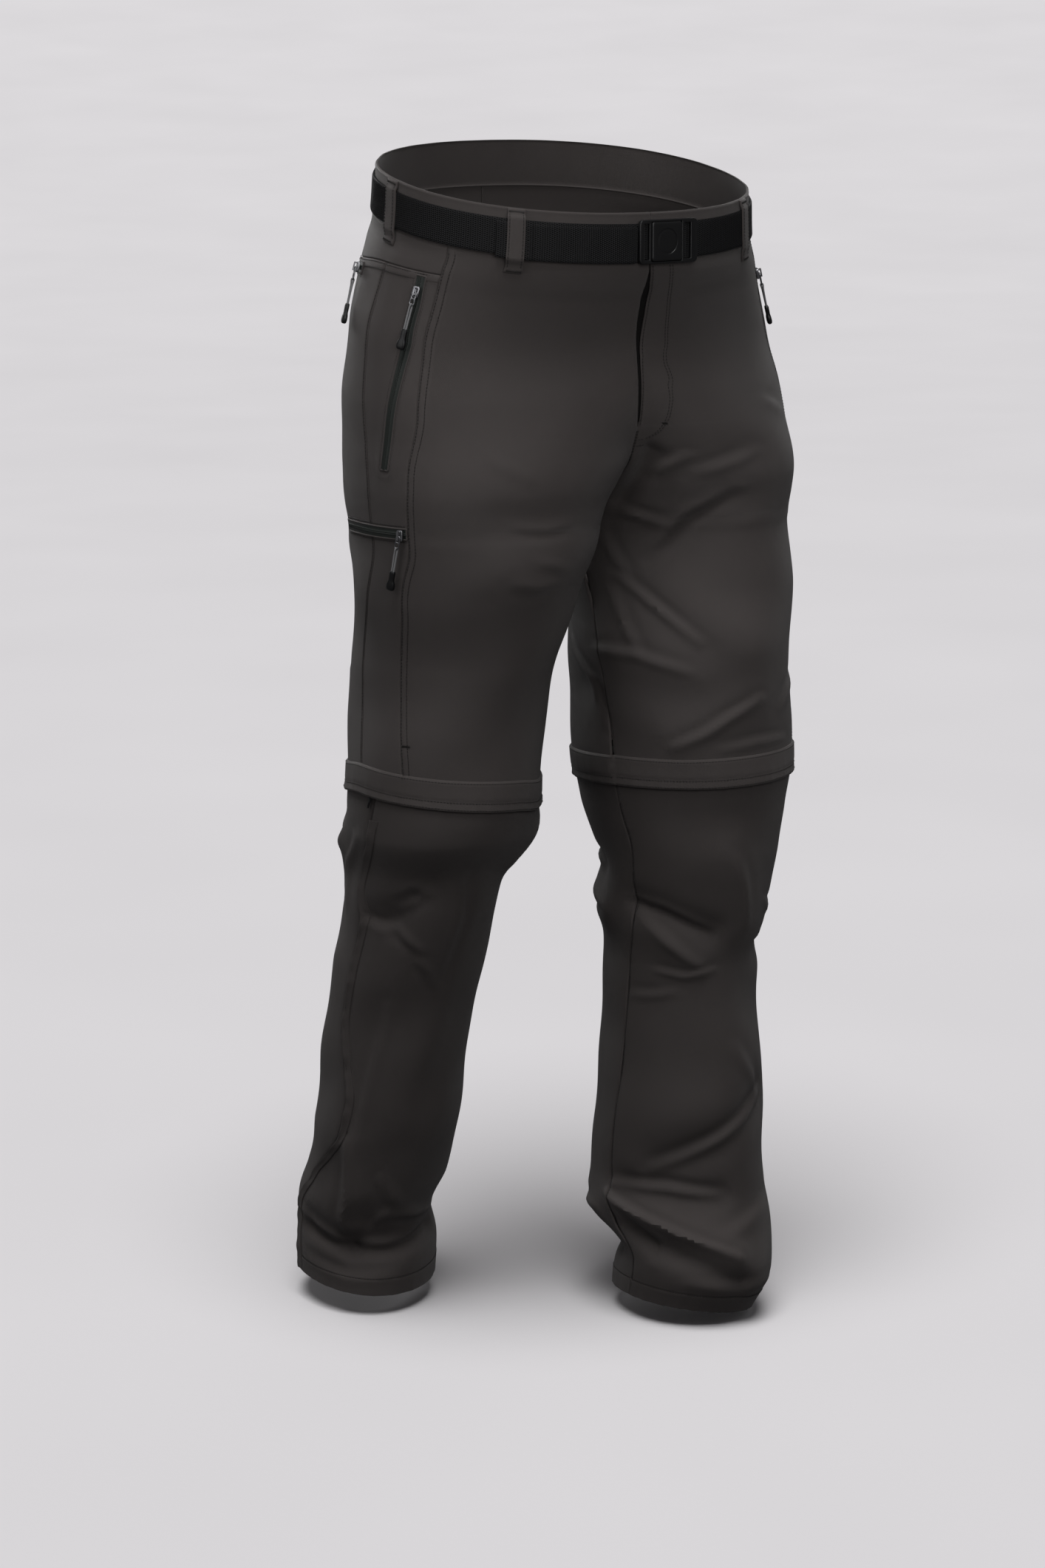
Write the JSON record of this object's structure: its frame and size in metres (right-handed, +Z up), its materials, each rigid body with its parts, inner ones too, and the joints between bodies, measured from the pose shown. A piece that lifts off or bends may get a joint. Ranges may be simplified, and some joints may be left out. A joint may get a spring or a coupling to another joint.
{
  "type": "convertible zip-off trousers with a webbing belt",
  "caption": "Worn, hollow hiking trousers with zip-off lower legs under knee flaps, zipped pockets with corded pulls, belt loops and a webbing belt with a side-release style buckle.",
  "frame": {"origin": "centre of the waist at the belt's mid height, where the wearer's waist holds the garment", "axes": "+Z up, -Y the way the wearer faces, -X the wearer's right side"},
  "size_m": [0.4377, 0.3872, 1.0979],
  "materials": {
    "cloth": "smooth stretch woven, slight sheen",
    "zip_tape": "coated woven tape",
    "webbing": "ribbed webbing",
    "plastic": "satin",
    "metal": "dark satin",
    "cord": "braided cord"
  },
  "bodies": {
    "root": {"waistband": "cloth", "yoke_right": "cloth", "yoke_left": "cloth", "front_right": "cloth", "front_left": "cloth", "side_panel_right": "cloth", "side_panel_left": "cloth", "back_right": "cloth", "back_left": "cloth", "knee_flap_right": "cloth", "knee_flap_left": "cloth", "lower_front_right": "cloth", "lower_front_left": "cloth", "lower_back_right": "cloth", "lower_back_left": "cloth", "side_zip_right": "cloth", "side_zip_left": "cloth", "fly_shield": "cloth", "belt_loop_1": "cloth", "belt_loop_2": "cloth", "belt_loop_3": "cloth", "belt_loop_4": "cloth", "belt_loop_5": "cloth", "belt_loop_6": "cloth", "belt_loop_7": "cloth", "knee_zip_right": "zip_tape", "knee_zip_left": "zip_tape", "hand_zip_right": "zip_tape", "hand_zip_left": "zip_tape", "cargo_zip": "zip_tape", "back_zip": "zip_tape", "belt": "webbing", "belt_tail": "webbing", "buckle_frame": "plastic", "buckle_plate": "plastic", "slider_hand_right": "metal", "slider_hand_left": "metal", "slider_cargo": "metal", "slider_back": "metal"},
    "pull_hand_right": {"pull_tab_hand_right": "metal", "pull_cord_hand_right": "cord", "pull_end_hand_right": "plastic"},
    "pull_hand_left": {"pull_tab_hand_left": "metal", "pull_cord_hand_left": "cord", "pull_end_hand_left": "plastic"},
    "pull_cargo": {"pull_tab_cargo": "metal", "pull_cord_cargo": "cord", "pull_end_cargo": "plastic"},
    "pull_back": {"pull_tab_back": "metal", "pull_cord_back": "cord", "pull_end_back": "plastic"}
  },
  "joints": [
    {"name": "swing_hand_right", "type": "hinge", "parent": "root", "child": "pull_hand_right", "pos_m": [-0.18583, -0.04049, -0.06799], "axis": [-0.4157, 0.8867, 0.2023], "range_deg": [0, 150]},
    {"name": "swing_hand_left", "type": "hinge", "parent": "root", "child": "pull_hand_left", "pos_m": [0.19195, -0.04052, -0.06742], "axis": [-0.3955, -0.8844, -0.2478], "range_deg": [0, 150]},
    {"name": "swing_cargo", "type": "hinge", "parent": "root", "child": "pull_cargo", "pos_m": [-0.20384, -0.0394, -0.27818], "axis": [-0.2874, 0.9578, 0], "range_deg": [0, 150]},
    {"name": "swing_back", "type": "hinge", "parent": "root", "child": "pull_back", "pos_m": [-0.18774, 0.05124, -0.05142], "axis": [0.3499, 0.9367, 0.0119], "range_deg": [0, 150]}
  ]
}
